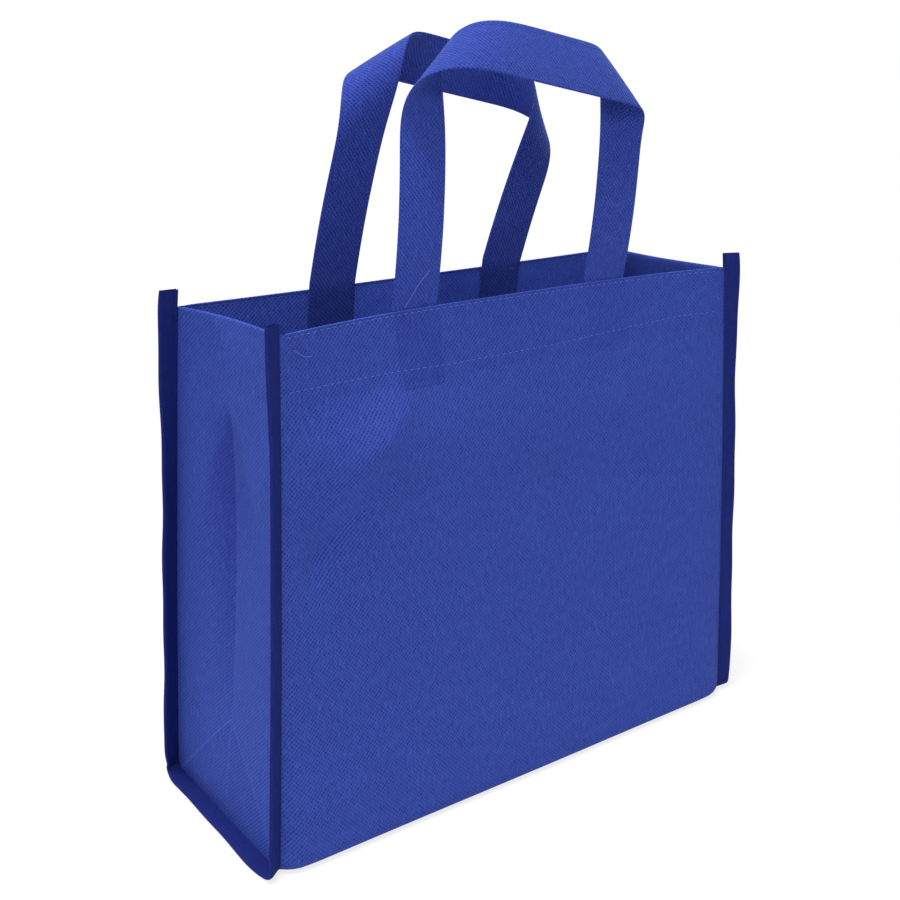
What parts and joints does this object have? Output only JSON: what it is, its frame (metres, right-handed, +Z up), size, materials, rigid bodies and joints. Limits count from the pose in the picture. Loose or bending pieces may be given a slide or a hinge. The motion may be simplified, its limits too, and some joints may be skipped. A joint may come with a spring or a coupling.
{
  "type": "non-woven shopping bag",
  "caption": "Open-top gusseted shopping bag in thin non-woven fabric with bound side seams, folded mouth hems and flat strap handles.",
  "frame": {"origin": "on the floor, under the middle of the bag", "axes": "+Z up towards the mouth and handles, front panel faces -Y, gussets face -X and +X"},
  "size_m": [0.3792, 0.1396, 0.4632],
  "materials": {
    "panel_cloth": "matte non-woven fabric with a fine embossed bond pattern",
    "strap_cloth": "matte folded non-woven strap",
    "binding_tape": "matte dark binding tape",
    "thread": "fine sewing thread"
  },
  "bodies": {
    "root": {"body_panel": "panel_cloth", "gusset_left": "panel_cloth", "gusset_right": "panel_cloth", "binding_left": "binding_tape", "binding_right": "binding_tape", "handle_front": "strap_cloth", "handle_back": "strap_cloth"}
  },
  "joints": []
}
